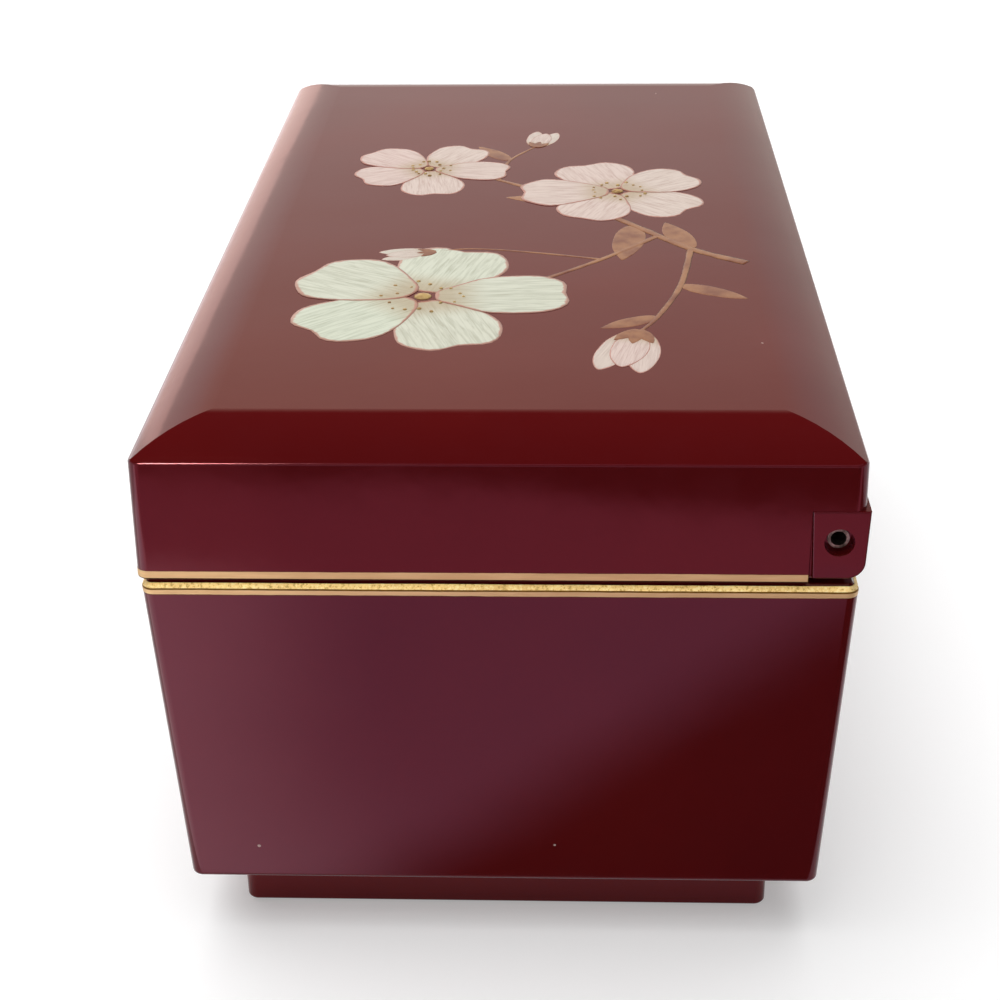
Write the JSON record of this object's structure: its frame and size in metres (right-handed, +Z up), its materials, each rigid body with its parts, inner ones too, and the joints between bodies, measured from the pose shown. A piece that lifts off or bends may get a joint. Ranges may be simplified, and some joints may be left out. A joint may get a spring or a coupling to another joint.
{
  "type": "jewelry box",
  "caption": "Tapered lacquered jewelry box on a set-back plinth, with gilt lines, a domed lid hinged at the rear, a lined upper tray with ring rolls, and a shallow front drawer.",
  "frame": {"origin": "centre of the felt face that the box rests on, at table level", "axes": "+X along the length, towards the right end seen from the front; +Y from the front to the hinge side; +Z up"},
  "size_m": [0.2226, 0.1319, 0.1027],
  "materials": {
    "lacquer": "polished oxblood lacquer on moulded resin",
    "gilt": "gold line, hand finished",
    "velvet": "wine red velvet on card",
    "roll_velvet": "wine red velvet over wadding",
    "felt": "dark brown felt",
    "board": "plain fibreboard",
    "drawer_board": "stained thin board",
    "screw_steel": "zinc plated",
    "pin_steel": "darkened steel tube",
    "brass": "turned and polished",
    "mirror": "silvered glass"
  },
  "bodies": {
    "case": {"case_shell": "lacquer", "case_gilt_line": "gilt", "plinth": "lacquer", "base_felt": "felt", "plinth_screws": "screw_steel", "drawer_guide_left": "board", "drawer_guide_right": "board", "shelf_panel": "board", "floor_lining": "velvet", "lining_front": "velvet", "lining_rear": "velvet", "lining_left": "velvet", "lining_right": "velvet", "divider_main": "velvet", "divider_cross": "velvet", "ring_roll_1": "roll_velvet", "ring_roll_2": "roll_velvet", "ring_roll_3": "roll_velvet", "ring_roll_4": "roll_velvet", "ring_roll_5": "roll_velvet", "ring_roll_6": "roll_velvet", "hinge_rail": "lacquer", "rail_screws": "screw_steel", "hinge_pin_left": "pin_steel", "hinge_pin_right": "pin_steel"},
    "lid": {"lid_shell": "lacquer", "lid_gilt_line": "gilt", "hinge_block_left": "lacquer", "hinge_block_right": "lacquer", "lid_lining_top": "velvet", "lid_lining_front": "velvet", "lid_lining_rear": "velvet", "lid_lining_left": "velvet", "lid_lining_right": "velvet", "mirror": "mirror", "mirror_frame": "brass"},
    "drawer": {"drawer_front": "lacquer", "drawer_subfront": "drawer_board", "drawer_side_left": "drawer_board", "drawer_side_right": "drawer_board", "drawer_back": "drawer_board", "drawer_bottom": "drawer_board", "drawer_felt": "velvet", "drawer_divider_left": "velvet", "drawer_divider_right": "velvet", "drawer_knob": "brass", "knob_screw": "screw_steel", "front_screws": "screw_steel"}
  },
  "joints": [
    {"name": "lid_hinge", "type": "hinge", "parent": "case", "child": "lid", "pos_m": [0, 0.0559, 0.0848], "axis": [-1, 0, 0], "range_deg": [0, 102]},
    {"name": "drawer_slide", "type": "slide", "parent": "case", "child": "drawer", "axis": [0, -1, 0], "range_m": [0, 0.08]}
  ]
}
